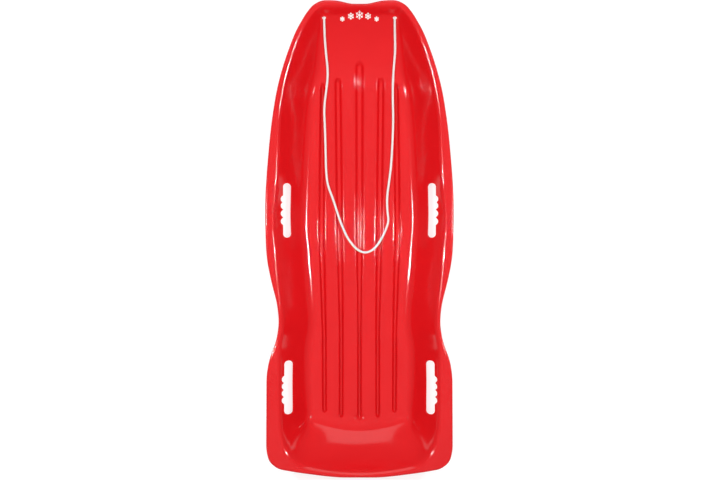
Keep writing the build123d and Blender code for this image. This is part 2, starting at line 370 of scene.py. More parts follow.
class Surface:
    """Evaluates the sheet's upper face."""

    CHANNELS = (
        Channel(((0, -462, 4.6), (0, -253, 5.0), (0, 20, 11.0), (0, 448, 12.0)), dimple=8.0),
        Channel(((47.6, -458, 5.0), (47.6, -253, 5.4), (51.5, 20, 10.0), (56, 408, 9.5))),
        Channel(((91, -446, 5.2), (92, -253, 5.6), (99, 20, 9.5), (96, 396, 6.0))),
    )
    BOTTOM_SHARE = 0.28  # share of a channel's half width that its flat bottom takes
    CHANNEL_BLEND = 1.0  # how far a channel's side runs on past its half width
    DIMPLE_BLEND = 3.0  # and the same round a dimple
    SLOPE_STEP = 0.5  # half of the distance over which a slope is measured
    FRONT_GRIP = GripBand(rear=24.0, front=134.0, count=10, slant=0.7, half_width=6.0, height=0.9)
    FRONT_GRIP_INSET = 2.5  # from the rim's bend inwards to the band's middle
    REAR_GRIP = GripBand(rear=-440.0, front=-344.0, count=9, slant=-0.8, half_width=5.5, height=1.0)
    REAR_GRIP_X = 229.0

    def __init__(self, shape: HullShape) -> None:
        """Prepare the curves of one shape."""
        self.shape = shape
        length, width = shape.half_length, shape.half_width
        self.rim_height = smooth_curve(shape.rim_heights, length)
        self.rim_edge = smooth_curve(shape.rim_edges, length, width)
        self.floor_edge = smooth_curve(shape.floor_edges, length, width)
        self.ramp_start = length - shape.ramp_length
        self.bowl_end = -length + shape.rear_flange
        self.bowl_start = self.bowl_end + shape.bowl_run
        self.lower_bend = smooth_curve(
            (
                (self.bowl_end, shape.bowl_softness),
                (self.bowl_start, shape.side_softness),
                (length, shape.side_softness),
            )
        )

    def ramp_rise(self, y: float) -> float:
        """How far the floor has climbed up the nose at y."""
        along = max(0.0, y - self.ramp_start)
        return self.shape.ramp_radius - math.sqrt(self.shape.ramp_radius**2 - along**2)

    def ramp_angle(self, y: float) -> float:
        """The floor's slope at y, in radians."""
        return math.asin(max(0.0, y - self.ramp_start) / self.shape.ramp_radius)

    def rise_share(self, run: float, softness: float) -> float:
        """Find the height over a panel's run: a bend, a straight incline and a bend onto the rim.

        Args:
            run: How far up the panel the point lies, from 0 at its foot to 1 at its rim.
            softness: How far the lower bend reaches, as a share of the run.

        Returns:
            The share of the panel's height.
        """
        slope = 1 / (1 - softness)
        rim = self.shape.rim_softness
        if run <= 2 * softness:
            return slope * run * run / (4 * softness)
        if run < 1 - rim:
            return slope * (run - softness)
        if run < 1 + rim:
            return 1 - slope * (1 + rim - run) ** 2 / (4 * rim)
        return 1.0

    def sheet_height(self, x: float, y: float) -> float:
        """Find the height of the upper face without channels or ridges.

        Args:
            x: Place across the hull.
            y: Place along the hull.

        Returns:
            The height.
        """
        shape = self.shape
        edge = self.floor_edge(y)
        floor = shape.channel_depth + shape.wall + self.ramp_rise(y)
        side = max(0.0, (abs(x) - edge) / (self.rim_edge(y) - edge))
        arch = (x / edge) ** 2
        start = self.bowl_start + shape.bowl_arch * arch
        end = self.bowl_end + shape.rear_flange * arch
        tail = max(0.0, (start - y) / (start - end))
        nose = max(0.0, (y - shape.half_length + shape.nose_flange) / shape.nose_step_run + 1)
        power = shape.corner_power
        run = (side**power + max(tail, nose) ** power) ** (1 / power)
        return floor + (self.rim_height(y) - floor) * self.rise_share(run, self.lower_bend(y))

    def slopes(self, x: float, y: float) -> tuple[float, float]:
        """Measure how steep the plain sheet is at a point.

        Args:
            x: Place across the hull.
            y: Place along the hull.

        Returns:
            The slopes along X and Y.
        """
        h = self.SLOPE_STEP
        slope_x = (self.sheet_height(x + h, y) - self.sheet_height(x - h, y)) / (2 * h)
        slope_y = (self.sheet_height(x, y + h) - self.sheet_height(x, y - h)) / (2 * h)
        return slope_x, slope_y

    def steepness(self, x: float, y: float) -> float:
        """Upright distance through the sheet per unit of wall."""
        return math.hypot(1.0, *self.slopes(x, y))

    def channel_drop(self, x: float, y: float) -> float:
        """Find how far the channels press the floor down at a point.

        Args:
            x: Place across the hull.
            y: Place along the hull.

        Returns:
            The depth below the plain sheet.
        """
        drop = 0.0
        for channel in self.CHANNELS:
            away, half = channel.lateral(abs(x), y)
            bottom = half * self.BOTTOM_SHARE
            reach = half + self.CHANNEL_BLEND
            drop = max(drop, 1 - smooth_step((away - bottom) / (reach - bottom)))
            if channel.dimple:
                reach = channel.dimple + self.DIMPLE_BLEND
                spot = math.hypot(x, y - channel.steps[0][1]) / reach
                drop = max(drop, 1 - smooth_step(spot))
        return self.shape.channel_depth * drop

    def grip_rise(self, x: float, y: float) -> float:
        """Height of the grip ridges at a point of the rim."""
        front = self.FRONT_GRIP.rise(abs(x) - self.rim_edge(y) + self.FRONT_GRIP_INSET, y)
        return front + self.REAR_GRIP.rise(abs(x) - self.REAR_GRIP_X, y)

    def top(self, x: float, y: float) -> float:
        """Height of the finished upper face."""
        return self.sheet_height(x, y) - self.channel_drop(x, y) + self.grip_rise(x, y)

    def normal(self, x: float, y: float) -> Vector:
        """Upward normal of the plain sheet."""
        slope_x, slope_y = self.slopes(x, y)
        return Vector((-slope_x, -slope_y, 1)).normalized()


# ---- materials ---------------------------------------------------------------------------------
def add_node(tree: bpy.types.NodeTree, kind: str, links: dict[str, object] | None = None,
             **settings: object) -> bpy.types.Node:
    """Add a shader node with its settings and what its inputs are linked to.

    Args:
        tree: The node tree.
        kind: The node's type name.
        links: Input name or number to an output socket, or to a plain value.
        settings: Attributes set on the node.

    Returns:
        The new node.
    """
    node = tree.nodes.new(kind)
    for key, value in settings.items():
        setattr(node, key, value)
    for key, source in (links or {}).items():
        socket = node.inputs[key]
        if isinstance(source, bpy.types.NodeSocket):
            tree.links.new(source, socket)
        else:
            socket.default_value = source
    return node


def new_material(name: str) -> tuple[bpy.types.Material, bpy.types.NodeTree, bpy.types.Node]:
    """Make an empty node material.

    Args:
        name: The material's name.

    Returns:
        The material, its tree and its Principled shader.
    """
    material = bpy.data.materials.new(name)
    material.use_nodes = True
    tree = material.node_tree
    tree.nodes.clear()
    shader = tree.nodes.new("ShaderNodeBsdfPrincipled")
    output = tree.nodes.new("ShaderNodeOutputMaterial")
    tree.links.new(shader.outputs["BSDF"], output.inputs["Surface"])
    return material, tree, shader


@dataclass(frozen=True)
class MouldedPolyethylene:
    """High-density polyethylene pressed against a polished mould.

    The eye sees a deep, even red with a wet gloss, a faint orange peel, and long soft waves
    where the sheet shrank as it cooled. Handling leaves hair-thin rubs in the gloss.
    """

    colour: str = "D8161B"
    deep_colour: str = "CF1016"
    peel_mm: float = 2.2
    wave_mm: float = 90.0
    rub_mm: float = 14.0
    rub_stretch: tuple[float, float, float] = (9.0, 0.7, 2.0)  # rubs run along the hull
    gloss: tuple[float, float] = (0.07, 0.15)  # roughness of the clean skin and of a rub

    def build(self) -> bpy.types.Material:
        """Make the material.

        Returns:
            The red plastic.
        """
        material, tree, shader = new_material("moulded_polyethylene_red")
        shader.inputs["IOR"].default_value = 1.53
        shader.inputs["Specular IOR Level"].default_value = 0.5
        place = add_node(tree, "ShaderNodeTexCoord").outputs["Object"]
        tint = add_node(tree, "ShaderNodeTexNoise",
                        {"Vector": place, "Scale": 1000 / self.wave_mm, "Detail": 3.0})
        colour = add_node(tree, "ShaderNodeMix", {
            0: tint.outputs["Fac"], 6: hex_colour(self.deep_colour), 7: hex_colour(self.colour),
        }, data_type="RGBA")
        tree.links.new(colour.outputs[2], shader.inputs["Base Color"])
        rubs = add_node(tree, "ShaderNodeMapping", {
            "Vector": place, "Scale": self.rub_stretch,
        })
        rub = add_node(tree, "ShaderNodeTexNoise", {
            "Vector": rubs.outputs[0], "Scale": 1000 / self.rub_mm, "Detail": 5.0,
        })
        gloss = add_node(tree, "ShaderNodeMapRange", {
            0: rub.outputs["Fac"], 1: 0.4, 2: 0.8, 3: self.gloss[0], 4: self.gloss[1],
        })
        tree.links.new(gloss.outputs[0], shader.inputs["Roughness"])
        peel = add_node(tree, "ShaderNodeTexNoise",
                        {"Vector": place, "Scale": 1000 / self.peel_mm, "Detail": 1.0})
        fine = add_node(tree, "ShaderNodeBump", {
            "Height": peel.outputs["Fac"], "Strength": 0.05, "Distance": 0.0004,
        })
        wave = add_node(tree, "ShaderNodeTexNoise",
                        {"Vector": place, "Scale": 1000 / self.wave_mm, "Detail": 0.0})
        soft = add_node(tree, "ShaderNodeBump", {
            "Height": wave.outputs["Fac"], "Strength": 0.35, "Distance": 0.0025,
            "Normal": fine.outputs[0],
        })
        tree.links.new(soft.outputs[0], shader.inputs["Normal"])
        return material


@dataclass(frozen=True)
class BraidedPolypropylene:
    """White multifilament cord, plaited from flat strands.

    The eye sees a bright matt white with a fine lengthwise sheen. Painted shade makes the colour
    darker between the strands, in the valleys where shade falls.
    """

    colour: str = "F6F6F2"
    # painted shade: the grey that the valleys between the strands are painted with
    painted_valley_shade: str = "B9BBBC"
    filament_mm: float = 0.5

    def build(self) -> bpy.types.Material:
        """Make the material, which reads how proud each point of the braid stands and paints shade
        into the valleys between the strands.

        Returns:
            The white cord.
        """
        material, tree, shader = new_material("braided_polypropylene_white")
        shader.inputs["Roughness"].default_value = 0.72
        shader.inputs["Sheen Weight"].default_value = 0.25
        # painted shade: the colour darkens from the strands' tops into the valleys between them
        proud = add_node(tree, "ShaderNodeAttribute", attribute_name="braid")
        colour = add_node(tree, "ShaderNodeMix", {
            0: proud.outputs["Fac"], 6: hex_colour(self.painted_valley_shade), 7: hex_colour(self.colour),
        }, data_type="RGBA")
        tree.links.new(colour.outputs[2], shader.inputs["Base Color"])
        place = add_node(tree, "ShaderNodeTexCoord").outputs["Object"]
        fibre = add_node(tree, "ShaderNodeTexNoise",
                         {"Vector": place, "Scale": 1000 / self.filament_mm, "Detail": 3.0})
        bump = add_node(tree, "ShaderNodeBump", {
            "Height": fibre.outputs["Fac"], "Strength": 0.4, "Distance": 0.0003,
        })
        tree.links.new(bump.outputs[0], shader.inputs["Normal"])
        return material


@dataclass(frozen=True)
class PadPrintInk:
    """Opaque white ink pad-printed on the plastic: satin, with a slightly uneven film."""

    colour: str = "F4F4F0"
    film_scale: float = 700.0  # patches a little over a millimetre across

    def build(self) -> bpy.types.Material:
        """Make the material.

        Returns:
            The white ink.
        """
        material, tree, shader = new_material("pad_print_ink_white")
        place = add_node(tree, "ShaderNodeTexCoord").outputs["Object"]
        film = add_node(tree, "ShaderNodeTexNoise",
                        {"Vector": place, "Scale": self.film_scale, "Detail": 4.0})
        gloss = add_node(tree, "ShaderNodeMapRange", {0: film.outputs["Fac"], 3: 0.3, 4: 0.5})
        shader.inputs["Base Color"].default_value = hex_colour(self.colour)
        tree.links.new(gloss.outputs[0], shader.inputs["Roughness"])
        return material


# ---- the hull ----------------------------------------------------------------------------------
@dataclass(frozen=True)
class HandHole:
    """One hand hole of the right side, seen from above, with its finger scallops."""

    rear: float
    front: float
    inner: float
    outer: float
    scallops: tuple[float, ...]


@dataclass
class Hull:
    """The pressed sheet: floor, channels, side panels, rim, lip, hand holes and rope holes."""

    surface: Surface
    material: bpy.types.Material
    channel_columns: tuple[float, ...] = (0.2, 0.36, 0.5, 0.64, 0.78, 0.9)
    gap_columns: int = 3
    side_columns: tuple[int, ...] = (2, 7, 5, 10, 4)
    channel_margin: float = 1.5  # from a channel's side to the last of its columns
    floor_margin: float = 2.0  # from the outermost channel's columns to the floor's edge
    lower_share: float = 0.36  # share of a side panel that its lower bend takes
    # The rim's bend, inwards and outwards: (most it may take, share of the room there).
    bend_inner: Point = (9.0, 0.3)
    bend_outer: Point = (7.0, 0.5)
    lip_depth: float = 12.0
    lip_radius: float = 4.5
    corner: float = 9.5
    scallop_radius: float = 10.0
    scallop_depth: float = 6.0
    arc_steps: int = 8  # straight runs in a quarter turn or a rounded corner
    outline_step: float = 1.5
    scallop_steps: int = 80
    hand_hole_reach: float = 14.0  # how far a cutter stands out of the sheet on both sides
    rope_hole_reach: float = 9.0
    rope_hole_points: int = 40
    rope_hole_radius: float = 5.0
    rope_hole: tuple[float, float] = (90.6, 567.0)
    holes: tuple[HandHole, ...] = (
        HandHole(4.0, 144.0, 175.5, 196.5, (45.8, 66.0, 86.0, 103.0)),
        HandHole(-450.0, -313.0, 170.5, 193.0, (-414.0, -396.0, -378.5, -360.5)),
    )
    # Rows along the hull: (place, spacing from there to the next one).
    row_steps: tuple[Point, ...] = (
        (-609.5, 4.0), (-478, 3.5), (-442, 1.5), (-342, 9.5), (20, 1.6), (138, 9.5),
        (380, 6.0), (560, 3.4), (609.5, 0.0),
    )

    def rows(self) -> list[float]:
        """Place the mesh's rows.

        Returns:
            Shares of the length, from tail to nose.
        """
        places: list[float] = []
        for (start, step), (end, _) in zip(self.row_steps, self.row_steps[1:]):
            count = round((end - start) / step)
            places += [start + (end - start) * k / count for k in range(count)]
        places.append(self.row_steps[-1][0])
        half = self.surface.shape.half_length
        return [(place + half) / (2 * half) for place in places]

    def column_shares(self, x_side: float, y: float) -> list[float]:
        """Shares of the half width where the mesh has its columns, at one place.

        The columns keep to the channels' lines, the floor's edge and the rim's bend, so each
        of these gets a clean run of narrow faces.

        Args:
            x_side: The sheet's half width there.
            y: Place along the hull.

        Returns:
            The shares, from the middle outwards.
        """
        floor, rim = self.surface.floor_edge(y), self.surface.rim_edge(y)
        places = [0.0]
        for channel in self.surface.CHANNELS:
            centre, half = channel.centre(y)
            across = [half * share for share in self.channel_columns]
            across.append(half + self.channel_margin)
            spots = [centre + offset for offset in across]
            if centre:
                spots = [*(centre - offset for offset in reversed(across)), centre, *spots]
            places += self.between(places[-1], spots[0], self.gap_columns if centre else 1)
            places += spots
        squeeze = min(1.0, (floor - self.floor_margin) / places[-1])
        places = [place * squeeze for place in places]
        bend_in = rim - min(self.bend_inner[0], self.bend_inner[1] * (rim - floor))
        bend_out = rim + min(self.bend_outer[0], self.bend_outer[1] * (x_side - rim))
        lower = floor + self.lower_share * (bend_in - floor)
        for stop, count in zip((floor, lower, bend_in, bend_out, x_side), self.side_columns):
            places += self.between(places[-1], stop, count) + [stop]
        return [place / x_side for place in places]

    @staticmethod
    def between(start: float, end: float, count: int) -> list[float]:
        """Even places between two, which are left out themselves."""
        return [start + (end - start) * i / count for i in range(1, count)]

    def edge_line(self) -> list[Vector]:
        """Draw the right side's rounded outline, moved in by the lip's radius.

        Returns:
            Close points from nose to tail.
        """
        shape = self.surface.shape
        corners = [
            Vector((x * shape.half_width, y * shape.half_length)) for y, x in shape.outline
        ]
        line = [corners[0]]
        for a, b, c in zip(corners, corners[1:], corners[2:]):
            reach = shape.arc_share * min((b - a).length, (c - b).length)
            start, end = b + (a - b).normalized() * reach, b + (c - b).normalized() * reach
            for k in range(self.arc_steps + 1):
                t = k / self.arc_steps
                line.append(start * (1 - t) ** 2 + b * 2 * t * (1 - t) + end * t * t)
        line.append(corners[-1])
        line = even_points(line, self.outline_step)
        inner = []
        for k, point in enumerate(line):
            along = (line[min(k + 1, len(line) - 1)] - line[max(k - 1, 0)]).normalized()
            inner.append(point + Vector((along.y, -along.x)) * self.lip_radius)
        return inner

    def plan(self) -> list[list[Vector]]:
        """Lay out the right half's mesh points seen from above, between its four edges.

        Returns:
            Rows from tail to nose, each with its points from the middle outwards.
        """
        line = self.edge_line()
        shape = self.surface.shape
        nose_x = shape.nose_corner * shape.half_width
        tail_x = shape.tail_corner * shape.half_width
        front = [p for p in line if p.y > 0]
        rear = [p for p in line if p.y <= 0]
        nose_at = next(k for k, p in enumerate(front) if p.x > nose_x)
        tail_at = max(k for k, p in enumerate(rear) if p.x > tail_x)
        nose_line, tail_line = front[: nose_at + 1], rear[tail_at:][::-1]
        side_line = (front[nose_at:] + rear[: tail_at + 1])[::-1]
        nose = straight_curve([(p.x, p.y) for p in nose_line])
        tail = straight_curve([(p.x, p.y) for p in tail_line])
        side = straight_curve([(p.y, p.x) for p in side_line])
        low_corner, high_corner = side_line[0], side_line[-1]
        low, high = tail_line[0], nose_line[0]
        rows: list[list[Vector]] = []
        for t in self.rows():
            y_side = low_corner.y + (high_corner.y - low_corner.y) * t
            edge = Vector((side(y_side), y_side))
            middle = Vector((0.0, low.y + (high.y - low.y) * t))
            row = []
            for s in self.column_shares(edge.x, y_side):
                below = Vector((low_corner.x * s, tail(low_corner.x * s)))
                above = Vector((high_corner.x * s, nose(high_corner.x * s)))
                corners = (
                    Vector((0.0, low.y)) * (1 - s) * (1 - t) + low_corner * s * (1 - t)
                    + Vector((0.0, high.y)) * (1 - s) * t + high_corner * s * t
                )
                row.append(below * (1 - t) + above * t + middle * (1 - s) + edge * s - corners)
            rows.append(row)
        return rows

    def sheet(self) -> bpy.types.Object:
        """Make the open upper face from a grid whose points are moved onto the surface.

        Returns:
            The open sheet.
        """
        rows = self.plan()
        middle = len(rows[0]) - 1
        steps_x, steps_y = 2 * middle, len(rows) - 1
        bpy.ops.object.select_all(action="DESELECT")
        bpy.ops.mesh.primitive_grid_add(x_subdivisions=steps_x, y_subdivisions=steps_y, size=2)
        obj = bpy.context.object
        obj.name = obj.data.name = "hull_shell"
        for vertex in obj.data.vertices:
            i = round((vertex.co.x + 1) / 2 * steps_x) - middle
            j = round((vertex.co.y + 1) / 2 * steps_y)
            spot = rows[j][abs(i)]
            x = math.copysign(spot.x, i) if i else 0.0
            vertex.co = Vector((x, spot.y, self.surface.top(x, spot.y))) * MM
        return obj

    def turn_lip(self, obj: bpy.types.Object, bends: int = 4, drops: int = 3) -> None:
        """Extrude the outer edge round a small radius and down, ring by ring.

        Args:
            obj: The open sheet.
            bends: Rings round the radius.
            drops: Rings down the straight part.
        """
        moves = []
        for k in range(bends):
            before, after = math.pi / 2 * k / bends, math.pi / 2 * (k + 1) / bends
            out, down = math.sin(after) - math.sin(before), math.cos(after) - math.cos(before)
            moves.append((self.lip_radius * out, self.lip_radius * down))
        moves += [(0.0, (self.lip_radius - self.lip_depth) / drops)] * drops
        with editing(obj) as mesh:
            ring = [edge for edge in mesh.edges if edge.is_boundary]
            outward = self.outward(ring)
            for out, down in moves:
                made = bmesh.ops.extrude_edge_only(mesh, edges=ring)["geom"]
                edges = (item for item in made if isinstance(item, bmesh.types.BMEdge))
                ring = [edge for edge in edges if edge.is_boundary]
                new = {vertex for edge in ring for vertex in edge.verts}
                outward = {vertex: self.follow(vertex, new, outward) for vertex in new}
                for vertex, direction in outward.items():
                    vertex.co += (direction * out + Vector((0, 0, down))) * MM
            bmesh.ops.recalc_face_normals(mesh, faces=mesh.faces)
            top = max(mesh.faces, key=lambda face: face.calc_area() * abs(face.normal.z))
            if top.normal.z < 0:
                bmesh.ops.reverse_faces(mesh, faces=mesh.faces)

    @staticmethod
    def follow(vertex: bmesh.types.BMVert, new: set[bmesh.types.BMVert],
               outward: dict[bmesh.types.BMVert, Vector]) -> Vector:
        """Find the direction of the vertex that a new one was extruded from.

        Args:
            vertex: The new vertex.
            new: All the vertices of the new ring.
            outward: Vertex to direction in the ring before.

        Returns:
            The direction.
        """
        source = next(edge.other_vert(vertex) for edge in vertex.link_edges
                      if edge.other_vert(vertex) not in new)
        return outward[source]

    @staticmethod
    def outward(ring: Sequence[bmesh.types.BMEdge]) -> dict[bmesh.types.BMVert, Vector]:
        """Find the level outward direction at each vertex of the outer edge.

        Args:
            ring: The edges of the boundary.

        Returns:
            Vertex to unit direction.
        """
        totals: dict[bmesh.types.BMVert, Vector] = {}
        for edge in ring:
            a, b = edge.verts
            side = Vector((b.co.y - a.co.y, a.co.x - b.co.x, 0.0)).normalized()
            inside = edge.link_faces[0].calc_center_median() - a.co
            if side.dot(inside) > 0:
                side = -side
            for vertex in (a, b):
                totals[vertex] = totals.get(vertex, Vector()) + side
        return {vertex: total.normalized() for vertex, total in totals.items()}

    def hole_contour(self, hole: HandHole) -> list[Vector]:
        """Draw a hand hole of the right side, with rounded ends and finger scallops.

        Args:
            hole: The hole's sizes.

        Returns:
            Points round it, seen from above.
        """
        points: list[Vector] = []
        r = self.corner
        corners = (
            (hole.inner + r, hole.rear + r, 180.0), (hole.outer - r, hole.rear + r, 270.0),
            (hole.outer - r, hole.front - r, 0.0), (hole.inner + r, hole.front - r, 90.0),
        )
        for number, (x, y, start) in enumerate(corners):
            for step in range(self.arc_steps + 1):
                angle = math.radians(start + 90 * step / self.arc_steps)
                points.append(Vector((x + r * math.cos(angle), y + r * math.sin(angle))))
            if number != 1:
                continue
            centre_x = hole.outer + self.scallop_depth - self.scallop_radius
            for k in range(1, self.scallop_steps):
                y = hole.rear + r + (hole.front - hole.rear - 2 * r) * k / self.scallop_steps
                reach = hole.outer
                for offset in (y - place for place in hole.scallops):
                    if abs(offset) < self.scallop_radius:
                        bulge = math.sqrt(self.scallop_radius**2 - offset**2)
                        reach = max(reach, centre_x + bulge)
                points.append(Vector((reach, y)))
        return points

    def cutter(self, contour: Sequence[Vector], side: Side, depth: float) -> bpy.types.Object:
        """Make a solid that cuts a hole square through the sheet.

        Args:
            contour: Points round the hole on the right side, seen from above.
            side: The side it cuts.
            depth: How far it stands out of the sheet above and below.

        Returns:
            The solid.
        """
        middle = sum(contour, Vector((0.0, 0.0))) / len(contour)
        normal = self.surface.normal(middle.x * side.value, middle.y)
        count = len(contour)
        vertices = []
        for reach in (-depth, depth):
            for point in contour:
                x = point.x * side.value
                spot = Vector((x, point.y, self.surface.sheet_height(x, point.y)))
                vertices.append(spot + normal * reach)
        faces = [list(range(count))[::-1], list(range(count, 2 * count))]
        faces += [[i, (i + 1) % count, count + (i + 1) % count, count + i] for i in range(count)]
        obj = object_from(f"cutter_{side.name.lower()}", vertices, faces)
        with editing(obj) as mesh:
            bmesh.ops.recalc_face_normals(mesh, faces=mesh.faces)
        return obj

    def cut_holes(self, obj: bpy.types.Object) -> None:
        """Cut the hand holes and the rope holes through the wall.

        Args:
            obj: The closed hull.
        """
        hole_x, hole_y = self.rope_hole
        radius_x = self.rope_hole_radius
        radius_y = radius_x * math.cos(self.surface.ramp_angle(hole_y))
        angles = [math.tau * k / self.rope_hole_points for k in range(self.rope_hole_points)]
        round_hole = [
            Vector((hole_x + radius_x * math.cos(a), hole_y + radius_y * math.sin(a)))
            for a in angles
        ]
        cuts = [(self.hole_contour(hole), self.hand_hole_reach) for hole in self.holes]
        cuts.append((round_hole, self.rope_hole_reach))
        for side in Side:
            for contour, depth in cuts:
                cutter = self.cutter(contour, side, depth)
                apply_modifier(obj, "BOOLEAN", operation="DIFFERENCE", object=cutter,
                               solver="MANIFOLD")
                bpy.data.meshes.remove(cutter.data)

    def build(self) -> bpy.types.Object:
        """Make the finished hull and let it stand for the CAD one.

        Returns:
            The hull.
        """
        obj = self.sheet()
        self.turn_lip(obj)
        apply_modifier(obj, "SOLIDIFY", thickness=self.surface.shape.wall * MM, offset=-1.0,
                       use_even_offset=False, use_quality_normals=True)
        self.cut_holes(obj)
        finish_shading(obj)
        obj.data.materials.clear()
        obj.data.materials.append(self.material)
        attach(obj, "hull")
        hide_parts("hull")
        return obj


# ---- the tow rope ------------------------------------------------------------------------------
@dataclass(frozen=True)
class Braid:
    """How a plaited cord's surface rises and falls."""

    strands: int = 5
    lozenge_mm: float = 3.4
    relief_mm: float = 0.35
    sides: int = 30
    ring_mm: float = 0.85
    crossing: float = 0.35  # how far the upper strand stands over the lower one where they cross
    end_taper: tuple[float, ...] = (0.35, 0.7, 0.92)  # share of the radius in the end's rings

    def proud(self, angle: float, along: float) -> float:
        """Find how proud the braid stands at a point.

        Args:
            angle: Place round the cord, in radians.
            along: Place along the cord, in millimetres.

        Returns:
            From 0 in a valley to 1 on a strand.
        """
        a = self.strands * angle + math.tau * along / self.lozenge_mm
        b = self.strands * angle - math.tau * along / self.lozenge_mm
        over = self.crossing * math.cos(self.strands * angle)
        height = max(0.5 + 0.5 * math.cos(a) + over, 0.5 + 0.5 * math.cos(b) - over)
        return min(max(height / (1 + self.crossing), 0.0), 1.0)


def even_points(points: Sequence[Vector], step: float) -> list[Vector]:
    """Place points evenly along a line.

    Args:
        points: The line's points.
        step: About how far apart the new ones are.

    Returns:
        The new points, with the line's own two ends.
    """
    lengths = [0.0]
    for a, b in zip(points, points[1:]):
        lengths.append(lengths[-1] + (b - a).length)
    count = max(2, round(lengths[-1] / step))
    result, i = [], 0
    for k in range(count + 1):
        at = lengths[-1] * k / count
        while i < len(lengths) - 2 and lengths[i + 1] < at:
            i += 1
        share = (at - lengths[i]) / max(lengths[i + 1] - lengths[i], 1e-9)
        result.append(points[i].lerp(points[i + 1], min(max(share, 0.0), 1.0)))
    return result


def braided_tube(name: str, line: Sequence[Vector], radius: float, braid: Braid,
                 material: bpy.types.Material) -> bpy.types.Object:
    """Make a closed plaited tube with rounded ends.

    Args:
        name: The piece's name.
        line: The points that it follows, in millimetres.
        radius: The cord's outer radius.
        braid: The surface pattern.
        material: Its material.

    Returns:
        The new object, with the braid's height stored as an attribute.
    """
    points = even_points(line, braid.ring_mm)
    tangent = (points[1] - points[0]).normalized()
    side = tangent.orthogonal().normalized()
    vertices: list[Vector] = []
    proud: list[float] = []
    along = 0.0
    rings = len(points)
    for k, point in enumerate(points):
        if k:
            along += (point - points[k - 1]).length
            ahead = points[min(k + 1, rings - 1)] - points[k - 1]
            new_tangent = ahead.normalized()
            side = (tangent.rotation_difference(new_tangent) @ side).normalized()
            tangent = new_tangent
        up = tangent.cross(side)
        from_end = min(k, rings - 1 - k)
        shrink = braid.end_taper[from_end] if from_end < len(braid.end_taper) else 1.0
        for n in range(braid.sides):
            angle = math.tau * n / braid.sides
            height = braid.proud(angle, along)
            reach = (radius - braid.relief_mm * (1 - height)) * shrink
            vertices.append(point + (side * math.cos(angle) + up * math.sin(angle)) * reach)
            proud.append(height)
    faces: list[list[int]] = []
    for k in range(rings - 1):
        for n in range(braid.sides):
            m = (n + 1) % braid.sides
            low, high = k * braid.sides, (k + 1) * braid.sides
            faces.append([low + n, low + m, high + m, high + n])
    faces.append(list(range(braid.sides))[::-1])
    faces.append([(rings - 1) * braid.sides + n for n in range(braid.sides)])
    obj = object_from(name, vertices, faces)
    # the cord's material paints shade into the valleys from this height
    attribute = obj.data.attributes.new("braid", "FLOAT", "POINT")
    attribute.data.foreach_set("value", proud)
    obj.data.materials.append(material)
    finish_shading(obj, 60.0)
    return obj


def smooth_route(points: Sequence[Vector]) -> list[Vector]:
    """Read a smooth line from a spline.

    Args:
        points: The spline's control points, in millimetres.

    Returns:
        Close points along it.
    """
    curve = bpy.data.curves.new("route", "CURVE")
    curve.dimensions = "3D"
    curve.resolution_u = 24
    spline = curve.splines.new("NURBS")
    spline.points.add(len(points) - 1)
    for target, point in zip(spline.points, points):
        target.co = (*point, 1.0)
    spline.order_u = 3
    spline.use_endpoint_u = True
    obj = bpy.data.objects.new("route", curve)
    bpy.context.scene.collection.objects.link(obj)
    mesh = bpy.data.meshes.new_from_object(obj)
    line = [vertex.co.copy() for vertex in mesh.vertices]
    bpy.data.objects.remove(obj)
    bpy.data.meshes.remove(mesh)
    return line


